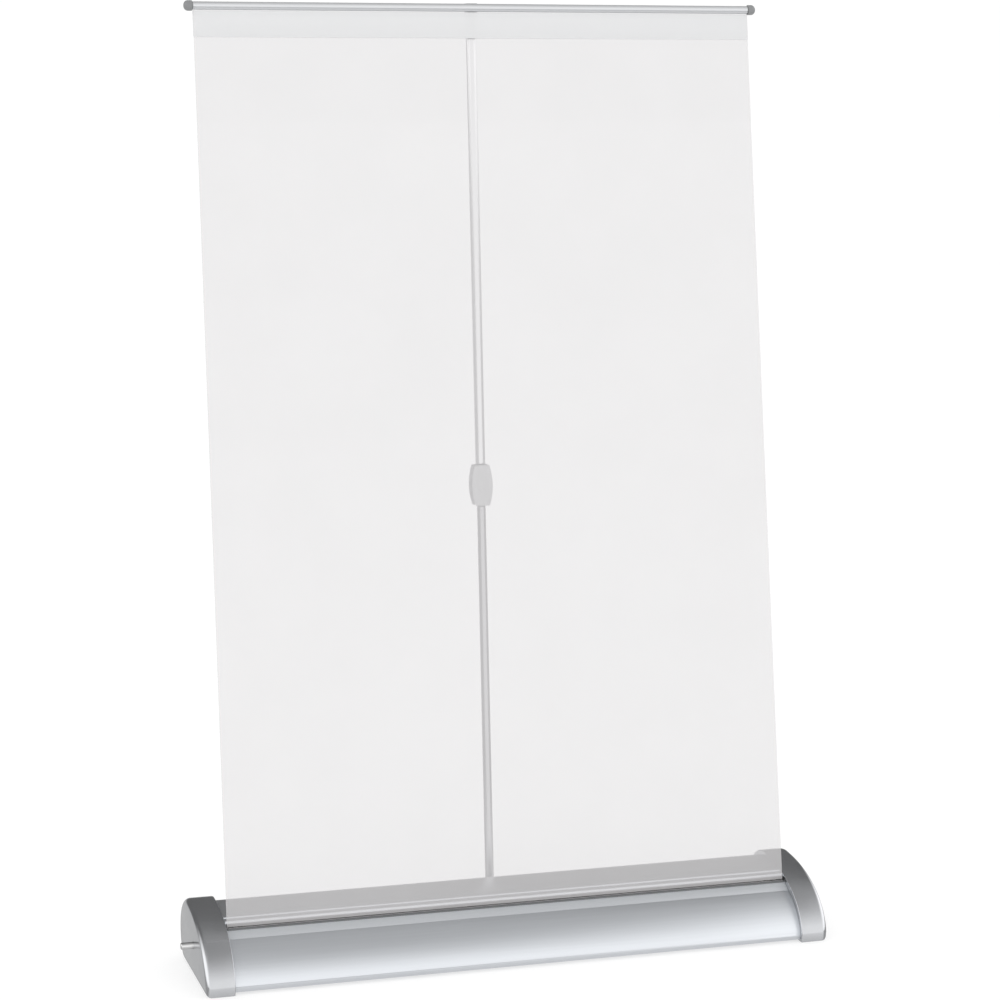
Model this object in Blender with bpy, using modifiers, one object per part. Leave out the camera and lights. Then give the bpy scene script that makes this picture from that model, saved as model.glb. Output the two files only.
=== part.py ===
"""Tabletop roll-up banner stand: base cassette with spring roller, pull-up banner with top rail,
and a folding two-piece support pole behind the banner.

Metres, +Z up. +X runs along the base, -Y faces the viewer, origin at the centre of the footprint.
Section points of the base are given as (y, z) from its front edge on the table.
"""

import math

import bmesh
import bpy
from mathutils import Matrix, Vector

MM = 0.001
COLLECTION = "roll_up_banner_stand"

# Whole object
FRONT_Y = -44.68 * MM  # front edge of the base profile, in the row frame
FIT_GAP = 0.3 * MM

# Base section, from its front edge
BASE_END_X = 154.2 * MM
PROFILE_END_X = 140.4 * MM
CAP_HEIGHT = 32.2 * MM
CAP_FRONT = -1.7 * MM
CAP_REACH = 58.2 * MM  # horizontal half-axis of the front curve
CURVE_POWER = 2.2
CREST_Y = 50.0 * MM
CURVE_TOP_Y = 46.0 * MM  # where the front curve hands over to the flat crest
REAR_Y = 68.5 * MM
REAR_MID_Z = 15.0 * MM
REAR_FOOT_Y = 58.0 * MM
PLINTH_HEIGHT = 4.3 * MM
PLINTH_TUCK = 1.3 * MM
CAP_EDGE_BEVEL = 1.8 * MM

CAP_SCREW_YS = (12.0 * MM, 48.0 * MM)
CAP_SCREW_INSET = 6.5 * MM  # from the cap's inner face
CAP_SCREW_SUNK = 0.9 * MM  # head above the cap's underside
CAP_SCREW_RADIUS = 2.2 * MM
CAP_SCREW_LENGTH = 6.5 * MM
CAP_SCREW_HOLE_TOP = 8.5 * MM
SCREW_HEAD_HEIGHT = 1.4 * MM
SCREW_POINT = 0.8 * MM
FOOT_PAD_XS = (-110.0 * MM, 110.0 * MM)
FOOT_PAD_YS = (9.0 * MM, 52.0 * MM)
FOOT_PAD_RADIUS = 4.5 * MM

PROFILE_WALL = 1.2 * MM
PROFILE_INSET = 2.2 * MM
PROFILE_FLOOR_Z = 1.3 * MM
PANEL_REACH = 56.3 * MM
PANEL_HEIGHT = 28.4 * MM
CREASE_Y = 16.85 * MM  # where the front curve meets the flat band below the slot
SLOT_FRONT = (21.9 * MM, 24.7 * MM)
SLOT_REAR = (24.3 * MM, 27.5 * MM)
SLOT_REAR_DEPTH = 3.2 * MM
TOP_BEND = (37.0 * MM, 29.5 * MM)  # on the flat top, between the slot and the crest
RIM_HEIGHT = 2.6 * MM
RIM_STEP = 0.4 * MM  # the rim stands this far in front of the panel
RIM_STEP_DROP = 0.5 * MM
RIM_TUCK = 0.7 * MM
GUIDE_WIDTH = 2.0 * MM
GUIDE_HEIGHT = 0.8 * MM
GUIDE_DROP = 2.1 * MM  # from the rear lip's top
GUIDE_END_GAP = 1.0 * MM

# Roller
ROLLER_Y = 31.0 * MM
ROLLER_Z = 15.8 * MM
ROLLER_RADIUS = 7.0 * MM
ROLLER_BORE = 6.0 * MM
ROLLER_END_X = 133.0 * MM
ROLL_RADIUS = 9.4 * MM
AXLE_RADIUS = 1.6 * MM
AXLE_PROUD = 6.0 * MM
AXLE_INNER_X = {-1: 70.0 * MM, 1: 118.0 * MM}  # spring axle, idler axle
BOSS_RADIUS = 5.2 * MM
BOSS_LENGTH = 4.0 * MM
PLUG_LENGTH = 12.0 * MM
FLANGE_RADIUS = 8.2 * MM
FLANGE_THICK = 2.1 * MM
FLANGE_PROUD = 2.4 * MM
ROLL_END_GAP = 8.0 * MM  # from the film's edge to the wound roll's end
CLIP_RADIUS = 3.4 * MM
CLIP_THICK = 0.6 * MM
SPRING_START_X = -116.0 * MM
SPRING_TURNS = 14
SPRING_POINTS = 12  # in each turn
SPRING_PITCH = 2.6 * MM
SPRING_RADIUS = 3.6 * MM
SPRING_WIRE = 0.55 * MM

# Banner and top rail
BANNER_WIDTH = 279.4 * MM
BANNER_LENGTH = 430.9 * MM
BANNER_LEAN = math.radians(7.94)
BANNER_SHEET = 0.3 * MM
BANNER_SLOT = (23.12 * MM, 25.44 * MM)
LEADER_GAP = 0.5 * MM  # between the wound roll and the film that leaves it
LEADER_RISE = 3.5 * MM
BELOW_SLOT = 1.5 * MM
ABOVE_SLOT = 3.0 * MM
RAIL_RADIUS = 1.95 * MM
RAIL_BORE = 1.35 * MM
RAIL_END_X = 139.7 * MM
RAIL_CAP_RADIUS = 2.5 * MM
RAIL_CAP_LENGTH = 4.0 * MM
RAIL_CAP_PLUG = 6.0 * MM
RAIL_CAP_DOME = [(0.55, 0.15 * MM), (0.87, 0.8 * MM), (1.0, 1.8 * MM)]  # share of radius, depth from the tip
SKIRT_HEIGHT = 12.6 * MM
SKIRT_HALF = 0.45 * MM  # half its thickness

# Support pole
POLE_FOOT = (3.0 * MM, 72.6 * MM, 15.0 * MM)
POLE_TOP_X = -2.2 * MM
POLE_TOP_BEHIND_RAIL = 5.4 * MM
LOWER_RADIUS = 2.1 * MM
UPPER_RADIUS = 2.4 * MM
TUBE_WALL = 0.5 * MM
KNUCKLE_AT = 206.0 * MM  # knuckle centre, along the pole from its foot pivot
KNUCKLE_LENGTH = 20.0 * MM
KNUCKLE_WIDTH = 10.4 * MM
KNUCKLE_END_WIDTH = 7.2 * MM
KNUCKLE_PIVOT = 5.6 * MM  # each pivot from the knuckle's centre
KNUCKLE_PLATE = 1.5 * MM
KNUCKLE_GAP = 2.75 * MM  # half the space between the two plates
EYE_RADIUS = 2.1 * MM
EYE_HALF = 1.8 * MM
PIN_RADIUS = 0.9 * MM
PIN_CLEARANCE = 0.15 * MM
EYE_SHANK = 5.0 * MM  # from an eye's pivot to the end of its tube
EYE_PLUG_OVERLAP = 1.0 * MM
EYE_PLUG = 7.0 * MM
PLUG_CLEARANCE = 0.15 * MM
STOP_WALL_GAP = 0.4 * MM  # between the upper tube and the knuckle's stop wall
PIN_INSET = 0.2 * MM

# Hook on top of the pole
HOOK_DROP = 15.0 * MM  # from the rail's centre down to the top of the upper tube
HOOK_COLLAR = 5.0 * MM
HOOK_COLLAR_STEP = 0.4 * MM
HOOK_PLUG = 8.0 * MM
HOOK_WIDTH = 5.0 * MM
HOOK_HALF_THICK = 1.6 * MM
HOOK_BLADE_DROP = 13.0 * MM  # from the rail's centre
HOOK_RAIL_GAP = 0.5 * MM
HOOK_LEDGE = 1.9 * MM
HOOK_LEDGE_REACH = (0.9 * MM, 0.75 * MM)  # its upper and lower edge, behind the rail's centre

# Bracket on the cassette's rear
BRACKET_PLATE = 1.6 * MM
BRACKET_HALF_WIDTH = 11.0 * MM
BRACKET_HALF_HEIGHT = 6.0 * MM
BRACKET_EAR_WIDTH = 7.0 * MM
BRACKET_EAR_ABOVE = 2.6 * MM  # above the foot pin
BRACKET_FLOOR_WIDTH = 9.0 * MM
BRACKET_FLOOR_DROP = 6.1 * MM  # underside of the shelf, below the foot pin
BRACKET_SCREW_X = 8.0 * MM
BRACKET_SCREW_RADIUS = 1.7 * MM
BRACKET_SCREW_LENGTH = 6.5 * MM
BRACKET_SCREW_PROUD = 1.5 * MM

SILVER = (0.66, 0.67, 0.69, 1.0)
PALE_SILVER = (0.7, 0.7, 0.7, 1.0)
LIGHT_GREY = (0.62, 0.63, 0.64, 1.0)
MID_GREY = (0.35, 0.36, 0.37, 1.0)
NEAR_BLACK = (0.05, 0.05, 0.055, 1.0)


def clear_scene():
    for existing in list(bpy.data.objects):
        bpy.data.objects.remove(existing, do_unlink=True)


def new_collection(name):
    collection = bpy.data.collections.new(name)
    bpy.context.scene.collection.children.link(collection)
    return collection


def material(name, colour, roughness, metallic):
    made = bpy.data.materials.get(name) or bpy.data.materials.new(name)
    made.use_nodes = True
    shader = made.node_tree.nodes["Principled BSDF"]
    shader.inputs["Base Color"].default_value = colour
    shader.inputs["Roughness"].default_value = roughness
    shader.inputs["Metallic"].default_value = metallic
    return made


def bright_steel():
    return material("bright_steel", PALE_SILVER, 0.15, 1.0)


def grey_plastic():
    return material("grey_plastic", MID_GREY, 0.35, 0.0)


def section(point):
    """A (y, z) section point as (y, z) in the row frame."""
    return (point[0] + FRONT_Y, point[1])


def place(obj, name, look, collection):
    obj.name = name
    obj.data.name = name
    obj.data.materials.clear()
    obj.data.materials.append(look)
    for owner in list(obj.users_collection):
        owner.objects.unlink(obj)
    collection.objects.link(obj)
    return obj


def frame_along(start, direction):
    """A matrix at start, with local Z along direction."""
    turn = Vector(direction).to_track_quat("Z", "Y").to_matrix().to_4x4()
    return Matrix.Translation(Vector(start)) @ turn


def smooth(obj, angle=35):
    obj.data.shade_smooth()
    obj.data.set_sharp_from_angle(angle=math.radians(angle))


def turned(name, profile, matrix, look, collection, sides=24):
    """A solid of revolution about local Z. The profile runs down the outer side, as (radius, z)."""
    mesh = bpy.data.meshes.new(name)
    shape = bmesh.new()
    points = [shape.verts.new((radius, 0, z)) for radius, z in profile]
    for first, second in zip(points, points[1:]):
        shape.edges.new((first, second))
    if profile[0][0] > 0:
        shape.edges.new((points[-1], points[0]))
    shape.to_mesh(mesh)
    shape.free()
    obj = bpy.data.objects.new(name, mesh)
    place(obj, name, look, collection)
    spin = obj.modifiers.new("turn", "SCREW")
    spin.steps = sides
    spin.render_steps = sides
    spin.use_merge_vertices = True
    spin.merge_threshold = 0.00001
    obj.matrix_world = matrix
    return obj


def rod(name, start, end, radius, look, collection, sides=20, bevel=0.0):
    """A round bar between two points, with optional rounded ends."""
    start, end = Vector(start), Vector(end)
    length = (end - start).length
    outer = [(radius, length), (radius, 0)]
    if bevel > 0:
        outer = [(radius - bevel, length), (radius, length - bevel), (radius, bevel), (radius - bevel, 0)]
    profile = [(0, length)] + outer + [(0, 0)]
    return turned(name, profile, frame_along(start, end - start), look, collection, sides)


def tube(name, start, end, radius, bore, look, collection, sides=20):
    """An open tube between two points."""
    start, end = Vector(start), Vector(end)
    length = (end - start).length
    profile = [(radius, length), (radius, 0), (bore, 0), (bore, length)]
    return turned(name, profile, frame_along(start, end - start), look, collection, sides)


def flat_solid(name, outline, matrix, thickness, look, collection):
    """A flat outline in local XY, thickened about local Z, as a mesh."""
    curve = bpy.data.curves.new(name, "CURVE")
    curve.dimensions = "2D"
    curve.fill_mode = "BOTH"
    curve.extrude = thickness / 2
    spline = curve.splines.new("POLY")
    spline.points.add(len(outline) - 1)
    for point, (a, b) in zip(spline.points, outline):
        point.co = (a, b, 0, 1)
    spline.use_cyclic_u = True
    drawn = bpy.data.objects.new(name, curve)
    bpy.context.scene.collection.objects.link(drawn)
    drawn.matrix_world = matrix
    bpy.context.view_layer.update()
    graph = bpy.context.evaluated_depsgraph_get()
    mesh = bpy.data.meshes.new_from_object(drawn.evaluated_get(graph))
    shape = bmesh.new()
    shape.from_mesh(mesh)
    bmesh.ops.remove_doubles(shape, verts=shape.verts, dist=0.000001)
    bmesh.ops.recalc_face_normals(shape, faces=shape.faces)
    shape.to_mesh(mesh)
    shape.free()
    bpy.data.objects.remove(drawn)
    obj = bpy.data.objects.new(name, mesh)
    place(obj, name, look, collection)
    obj.matrix_world = matrix
    return obj


def along_x(x):
    """Local X to world Y, local Y to world Z, local Z to world X: for base sections."""
    return Matrix(((0, 0, 1, x), (1, 0, 0, 0), (0, 1, 0, 0), (0, 0, 0, 1)))


def cut(obj, cutter, operation="DIFFERENCE"):
    cutter.hide_render = True
    cutter.display_type = "WIRE"
    step = obj.modifiers.new(cutter.name, "BOOLEAN")
    step.operation = operation
    step.object = cutter
    step.solver = "EXACT"


def bevelled(obj, width, segments=2, angle=30):
    bevel = obj.modifiers.new("edges", "BEVEL")
    bevel.width = width
    bevel.segments = segments
    bevel.limit_method = "ANGLE"
    bevel.angle_limit = math.radians(angle)
    return bevel


def front_curve(reach, height, low_z, high_y, count):
    """Points up the front of the base, from low_z to high_y, on a superellipse."""
    centre_y = CAP_FRONT + CAP_REACH
    first = math.asin((low_z / height) ** (CURVE_POWER / 2))
    last = math.acos(((centre_y - high_y) / reach) ** (CURVE_POWER / 2))
    points = []
    for i in range(count + 1):
        t = first + (last - first) * i / count
        y = centre_y - reach * math.cos(t) ** (2 / CURVE_POWER)
        z = height * math.sin(t) ** (2 / CURVE_POWER)
        points.append((y, z))
    return points


def rear_curve(inset, floor_z, count):
    """Points from the crest down the rounded rear to the base's underside."""
    points = []
    for i in range(count + 1):
        t = math.pi / 2 * i / count
        y = CREST_Y + (REAR_Y - inset - CREST_Y) * math.sin(t)
        z = REAR_MID_Z + (CAP_HEIGHT - inset - REAR_MID_Z) * math.cos(t)
        points.append((y, z))
    for i in range(1, count + 1):
        t = math.pi / 2 * i / count
        y = REAR_FOOT_Y + (REAR_Y - inset - REAR_FOOT_Y) * math.cos(t)
        z = REAR_MID_Z - (REAR_MID_Z - floor_z) * math.sin(t)
        points.append((y, z))
    return points


def cap_outline():
    outline = [(CAP_FRONT + PLINTH_TUCK, 0.0)]
    outline += front_curve(CAP_REACH, CAP_HEIGHT, PLINTH_HEIGHT, CURVE_TOP_Y, 12)
    return outline + rear_curve(0, 0.0, 6)


def make_base_profile(parts):
    """The extruded cassette: a wall that runs from the slot round the front, floor, rear and top."""
    panel = front_curve(PANEL_REACH, PANEL_HEIGHT, PROFILE_FLOOR_Z + RIM_HEIGHT, CREASE_Y, 9)
    panel_foot_y, panel_foot_z = panel[0]
    rim_y = panel_foot_y - RIM_STEP
    wall = [SLOT_FRONT] + panel[::-1]
    wall += [(rim_y, panel_foot_z - RIM_STEP_DROP), (rim_y + RIM_TUCK, PROFILE_FLOOR_Z)]
    wall += rear_curve(PROFILE_INSET, PROFILE_FLOOR_Z, 6)[::-1]
    wall += [TOP_BEND, SLOT_REAR, (SLOT_REAR[0], SLOT_REAR[1] - SLOT_REAR_DEPTH)]
    end_x = PROFILE_END_X - FIT_GAP
    mesh = bpy.data.meshes.new("base_profile")
    shape = bmesh.new()
    line = [shape.verts.new((-end_x, *section(point))) for point in wall]
    edges = [shape.edges.new(pair) for pair in zip(line, line[1:])]
    swept = bmesh.ops.extrude_edge_only(shape, edges=edges)["geom"]
    moved = [item for item in swept if isinstance(item, bmesh.types.BMVert)]
    bmesh.ops.translate(shape, verts=moved, vec=(2 * end_x, 0, 0))
    shape.to_mesh(mesh)
    shape.free()
    obj = bpy.data.objects.new("base_profile", mesh)
    place(obj, "base_profile", material("anodised_aluminium", SILVER, 0.3, 1.0), parts)
    shell = obj.modifiers.new("wall", "SOLIDIFY")
    shell.thickness = PROFILE_WALL
    shell.offset = 1.0
    shell.use_even_offset = True
    smooth(obj)
    return obj


def make_slot_guide(parts):
    """Plastic strip on the slot's rear lip that the film runs over."""
    y, z = section((SLOT_REAR[0] + PROFILE_WALL + FIT_GAP, SLOT_REAR[1] - GUIDE_DROP))
    far_y, far_z = y + GUIDE_WIDTH, z + GUIDE_HEIGHT
    outline = [(y, z), (far_y, z), (far_y, far_z), (y, far_z)]
    look = material("dark_plastic", NEAR_BLACK, 0.5, 0.0)
    length = 2 * (PROFILE_END_X - GUIDE_END_GAP)
    strip = flat_solid("slot_guide", outline, along_x(0), length, look, parts)
    bevelled(strip, 0.2 * MM, 1)


def make_end_cap(side, parts, cutters):
    """Moulded cap that closes one end, with the bearing boss for its axle."""
    name = "end_cap_left" if side < 0 else "end_cap_right"
    width = BASE_END_X - PROFILE_END_X
    middle = side * (PROFILE_END_X + width / 2)
    outline = [section(point) for point in cap_outline()]
    look = material("silver_plastic", SILVER, 0.22, 0.85)
    cap = flat_solid(name, outline, along_x(middle), width, look, parts)
    bevelled(cap, CAP_EDGE_BEVEL, 3, 50).use_clamp_overlap = False
    y, z = section((ROLLER_Y, ROLLER_Z))
    inner = side * PROFILE_END_X
    boss = rod(name + "_boss", (inner + side * 1 * MM, y, z), (inner - side * BOSS_LENGTH, y, z),
               BOSS_RADIUS, look, cutters, 24)
    cut(cap, boss, "UNION")
    bore = rod(name + "_bore", (inner - side * 8 * MM, y, z), (side * (BASE_END_X + 5 * MM), y, z),
               AXLE_RADIUS + FIT_GAP, look, cutters, 20)
    cut(cap, bore)
    screw_x = side * (PROFILE_END_X + CAP_SCREW_INSET)
    for index, screw_y in enumerate(CAP_SCREW_YS):
        hole_y, _ = section((screw_y, 0))
        hole = rod(f"{name}_screw_hole_{index}", (screw_x, hole_y, -1 * MM),
                   (screw_x, hole_y, CAP_SCREW_HOLE_TOP), CAP_SCREW_RADIUS + FIT_GAP, look, cutters, 16)
        cut(cap, hole)
    smooth(cap)


def make_screw(name, head, direction, parts, radius, length):
    """Pan-head screw: from the middle of its head, with the shank along direction."""
    steel = material("zinc_steel", (0.5, 0.5, 0.5, 1), 0.35, 1.0)
    shank = radius * 0.5
    profile = [(0, length + SCREW_POINT), (shank, length), (shank, SCREW_HEAD_HEIGHT)]
    profile += [(radius, SCREW_HEAD_HEIGHT), (radius, 0.6 * MM), (radius * 0.7, 0), (0, 0)]
    turned(name, profile, frame_along(head, direction), steel, parts, 16)


def make_cap_screws(parts):
    for side, where in ((-1, "left"), (1, "right")):
        for y, end in zip(CAP_SCREW_YS, ("front", "rear")):
            head_y, _ = section((y, 0))
            head = (side * (PROFILE_END_X + CAP_SCREW_INSET), head_y, CAP_SCREW_SUNK)
            make_screw(f"cap_screw_{where}_{end}", head, (0, 0, 1), parts, CAP_SCREW_RADIUS, CAP_SCREW_LENGTH)


def make_feet(parts):
    """Thin rubber pads under the cassette, flush with the caps' feet."""
    rubber = material("rubber", (0.03, 0.03, 0.03, 1), 0.8, 0.0)
    for x, where in zip(FOOT_PAD_XS, ("left", "right")):
        for y, end in zip(FOOT_PAD_YS, ("front", "rear")):
            centre_y, _ = section((y, 0))
            top = (x, centre_y, PROFILE_FLOOR_Z - FIT_GAP)
            rod(f"foot_{where}_{end}", (x, centre_y, 0), top, FOOT_PAD_RADIUS, rubber, parts, 20, 0.25 * MM)


def make_roller(parts):
    y, z = section((ROLLER_Y, ROLLER_Z))
    metal = material("mill_aluminium", (0.6, 0.61, 0.62, 1), 0.4, 1.0)
    nylon = material("white_nylon", (0.8, 0.8, 0.78, 1), 0.5, 0.0)
    film = material("banner_film", (0.9, 0.9, 0.9, 1), 0.4, 0.0)
    ends = [(-ROLLER_END_X, y, z), (ROLLER_END_X, y, z)]
    tube("roller_tube", *ends, ROLLER_RADIUS, ROLLER_BORE, metal, parts, 28)
    bore = AXLE_RADIUS + 0.1 * MM
    seat = ROLLER_BORE - FIT_GAP
    profile = [(seat, PLUG_LENGTH), (seat, FLANGE_THICK), (FLANGE_RADIUS, FLANGE_THICK)]
    profile += [(FLANGE_RADIUS, 0), (bore, 0), (bore, PLUG_LENGTH)]
    for side, name in ((-1, "roller_plug_spring"), (1, "roller_plug_idler")):
        outer = side * (ROLLER_END_X + FLANGE_PROUD)
        turned(name, profile, frame_along((outer, y, z), (-side, 0, 0)), nylon, parts, 28)
    half = BANNER_WIDTH / 2 - ROLL_END_GAP
    tube("banner_roll", (-half, y, z), (half, y, z), ROLL_RADIUS, ROLLER_RADIUS + FIT_GAP, film, parts, 36)


def make_axles(parts):
    """Spring axle through the left cap and idler axle through the right one."""
    y, z = section((ROLLER_Y, ROLLER_Z))
    steel = bright_steel()
    for side, name in ((-1, "spring_axle"), (1, "idler_axle")):
        rod(name, (side * AXLE_INNER_X[side], y, z), (side * (BASE_END_X + AXLE_PROUD), y, z),
            AXLE_RADIUS, steel, parts, 16, 0.4 * MM)
    for side, name in ((-1, "axle_clip_left"), (1, "axle_clip_right")):
        start = side * (PROFILE_END_X - BOSS_LENGTH - FIT_GAP)
        end = start - side * CLIP_THICK
        tube(name, (start, y, z), (end, y, z), CLIP_RADIUS, AXLE_RADIUS + 0.05 * MM, steel, parts, 16)


def make_recoil_spring(parts):
    """Torsion coil on the spring axle, inside the roller tube."""
    y, z = section((ROLLER_Y, ROLLER_Z))
    curve = bpy.data.curves.new("recoil_spring", "CURVE")
    curve.dimensions = "3D"
    curve.bevel_depth = SPRING_WIRE
    curve.bevel_resolution = 2
    curve.use_fill_caps = True
    spline = curve.splines.new("POLY")
    spline.points.add(SPRING_TURNS * SPRING_POINTS)
    for i, point in enumerate(spline.points):
        turns = i / SPRING_POINTS
        angle = 2 * math.pi * turns
        point.co = (SPRING_START_X + SPRING_PITCH * turns,
                    y + SPRING_RADIUS * math.cos(angle), z + SPRING_RADIUS * math.sin(angle), 1)
    obj = bpy.data.objects.new("recoil_spring", curve)
    place(obj, "recoil_spring", bright_steel(), parts)


def banner_point(distance):
    """(y, z) in the row frame, this far up the banner from the slot."""
    y, z = section(BANNER_SLOT)
    return (y + distance * math.sin(BANNER_LEAN), z + distance * math.cos(BANNER_LEAN))


def make_banner(parts):
    """Film from the roll, up through the slot and on to the rail's underside."""
    film = material("banner_film", (0.9, 0.9, 0.9, 1), 0.4, 0.0)
    leader_y, leader_z = section((ROLLER_Y - ROLL_RADIUS - LEADER_GAP, ROLLER_Z + 1.0 * MM))
    path = [(leader_y, leader_z), (leader_y + 0.15 * MM, leader_z + LEADER_RISE)]
    path += [banner_point(-BELOW_SLOT), banner_point(ABOVE_SLOT)]
    path += [banner_point(BANNER_LENGTH - SKIRT_HEIGHT - FIT_GAP)]
    mesh = bpy.data.meshes.new("banner")
    shape = bmesh.new()
    line = [shape.verts.new((-BANNER_WIDTH / 2, y, z)) for y, z in path]
    edges = [shape.edges.new(pair) for pair in zip(line, line[1:])]
    swept = bmesh.ops.extrude_edge_only(shape, edges=edges)["geom"]
    moved = [item for item in swept if isinstance(item, bmesh.types.BMVert)]
    bmesh.ops.translate(shape, verts=moved, vec=(BANNER_WIDTH, 0, 0))
    shape.to_mesh(mesh)
    shape.free()
    obj = bpy.data.objects.new("banner", mesh)
    place(obj, "banner", film, parts)
    sheet = obj.modifiers.new("film", "SOLIDIFY")
    sheet.thickness = BANNER_SHEET
    sheet.offset = 0
    sheet.use_even_offset = True


def rail_centre():
    return banner_point(BANNER_LENGTH + RAIL_RADIUS)


def make_rail(parts):
    """Top rail tube, its two end caps, and the strip below it that grips the film."""
    y, z = rail_centre()
    metal = material("anodised_aluminium", SILVER, 0.3, 1.0)
    tube("top_rail", (-RAIL_END_X, y, z), (RAIL_END_X, y, z), RAIL_RADIUS, RAIL_BORE, metal, parts, 24)
    plug = RAIL_BORE - PLUG_CLEARANCE
    profile = [(0, RAIL_CAP_LENGTH)]
    profile += [(share * RAIL_CAP_RADIUS, RAIL_CAP_LENGTH - depth) for share, depth in RAIL_CAP_DOME]
    profile += [(RAIL_CAP_RADIUS, 0), (plug, 0), (plug, -RAIL_CAP_PLUG), (0, -RAIL_CAP_PLUG)]
    for side, name in ((-1, "rail_cap_left"), (1, "rail_cap_right")):
        start = (side * (RAIL_END_X + FIT_GAP), y, z)
        turned(name, profile, frame_along(start, (side, 0, 0)), grey_plastic(), parts, 24)
    low_y, low_z = banner_point(BANNER_LENGTH - SKIRT_HEIGHT)
    high_y, high_z = banner_point(BANNER_LENGTH - FIT_GAP)
    back_y, back_z = math.cos(BANNER_LEAN) * SKIRT_HALF, -math.sin(BANNER_LEAN) * SKIRT_HALF
    outline = [(low_y - back_y, low_z - back_z), (low_y + back_y, low_z + back_z)]
    outline += [(high_y + back_y, high_z + back_z), (high_y - back_y, high_z - back_z)]
    strip = material("clear_strip", (0.8, 0.81, 0.83, 1), 0.25, 0.0)
    flat_solid("rail_skirt", outline, along_x(0), BANNER_WIDTH, strip, parts)


def pole_line():
    """Foot pivot, unit direction up the pole, and the swing axis across it."""
    foot_y, foot_z = section(POLE_FOOT[1:])
    foot = Vector((POLE_FOOT[0], foot_y, foot_z))
    rail_y, rail_z = rail_centre()
    top = Vector((POLE_TOP_X, rail_y + POLE_TOP_BEHIND_RAIL, rail_z))
    up = (top - foot).normalized()
    swing = up.cross(Vector((1, 0, 0))).normalized()
    return foot, up, swing, (top - foot).length


def pole_frame(distance):
    """Matrix on the pole: local X to the right, local Y up the pole, local Z to the front."""
    foot, up, swing, _ = pole_line()
    right = swing.cross(up).normalized()
    turn = Matrix((right, up, right.cross(up))).transposed().to_4x4()
    return Matrix.Translation(foot + up * distance) @ turn


def arc_points(centre, radius, start, end, count):
    points = []
    for i in range(count + 1):
        angle = math.radians(start + (end - start) * i / count)
        points.append((centre[0] + radius * math.cos(angle), centre[1] + radius * math.sin(angle)))
    return points


def pin_hole(name, distance, look, cutters):
    """Cutter for a pin's hole through the pole, this far up it."""
    foot, up, swing, _ = pole_line()
    pivot, reach = foot + up * distance, swing * 8 * MM
    return rod(name, pivot - reach, pivot + reach, PIN_RADIUS + PIN_CLEARANCE, look, cutters, 16)


def make_pole_eye(name, pivot_at, tube_from, parts, cutters, bore):
    """End fitting of a tube: a flat eye on the pivot, with a round plug that fills the tube's end."""
    look = grey_plastic()
    way = 1 if tube_from > pivot_at else -1
    shank = abs(tube_from - pivot_at)
    outline = arc_points((0, 0), EYE_RADIUS, 180, 360, 8)
    outline = [(x, way * y) for x, y in outline]
    outline += [(EYE_RADIUS, way * (shank - FIT_GAP)), (-EYE_RADIUS, way * (shank - FIT_GAP))]
    eye = flat_solid(name, outline, pole_frame(pivot_at), 2 * EYE_HALF, look, parts)
    foot, up, _, _ = pole_line()
    plug_start = foot + up * (tube_from - way * EYE_PLUG_OVERLAP)
    plug_end = foot + up * (tube_from + way * EYE_PLUG)
    cut(eye, rod(name + "_plug", plug_start, plug_end, bore - PLUG_CLEARANCE, look, cutters, 16), "UNION")
    cut(eye, pin_hole(name + "_hole", pivot_at, look, cutters))


def knuckle_outline():
    """Barrel outline with flat ends, in the pole's own plane."""
    half, wide, narrow = KNUCKLE_LENGTH / 2, KNUCKLE_WIDTH / 2, KNUCKLE_END_WIDTH / 2
    count = 8
    right = []
    for i in range(count + 1):
        y = -half + 2 * half * i / count
        right.append((narrow + (wide - narrow) * (1 - (y / half) ** 2), y))
    return right + [(-x, y) for x, y in right[::-1]]


def make_knuckle(parts, cutters):
    """Two-pivot folding knuckle: a front and a rear shell, the rear one with the stop wall."""
    look = material("knuckle_plastic", LIGHT_GREY, 0.4, 0.0)
    foot, up, swing, _ = pole_line()
    frame = pole_frame(KNUCKLE_AT)
    front = -(KNUCKLE_GAP + KNUCKLE_PLATE / 2)
    plates = {}
    for name, offset in (("knuckle_front", front), ("knuckle_rear", -front)):
        matrix = frame @ Matrix.Translation((0, 0, -offset))
        plates[name] = flat_solid(name, knuckle_outline(), matrix, KNUCKLE_PLATE, look, parts)
    inside = UPPER_RADIUS + STOP_WALL_GAP
    wall = [(x, y) for x, y in knuckle_outline() if x > 0]
    wall = wall + [(inside, KNUCKLE_LENGTH / 2), (inside, -KNUCKLE_LENGTH / 2)]
    root = 0.4 * MM
    matrix = frame @ Matrix.Translation((0, 0, -(FIT_GAP + root) / 2))
    stop = flat_solid("knuckle_stop_wall", wall, matrix, 2 * KNUCKLE_GAP - FIT_GAP + root, look, cutters)
    cut(plates["knuckle_rear"], stop, "UNION")
    for sign, name in ((-1, "knuckle_pin_lower"), (1, "knuckle_pin_upper")):
        pivot_at = KNUCKLE_AT + sign * KNUCKLE_PIVOT
        centre = foot + up * pivot_at
        reach = swing * (KNUCKLE_GAP + KNUCKLE_PLATE - PIN_INSET)
        rod(name, centre - reach, centre + reach, PIN_RADIUS, bright_steel(), parts, 16)
        for plate in plates.values():
            cut(plate, pin_hole(f"{plate.name}_{name}", pivot_at, look, cutters))
    for plate in plates.values():
        smooth(plate)


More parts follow.
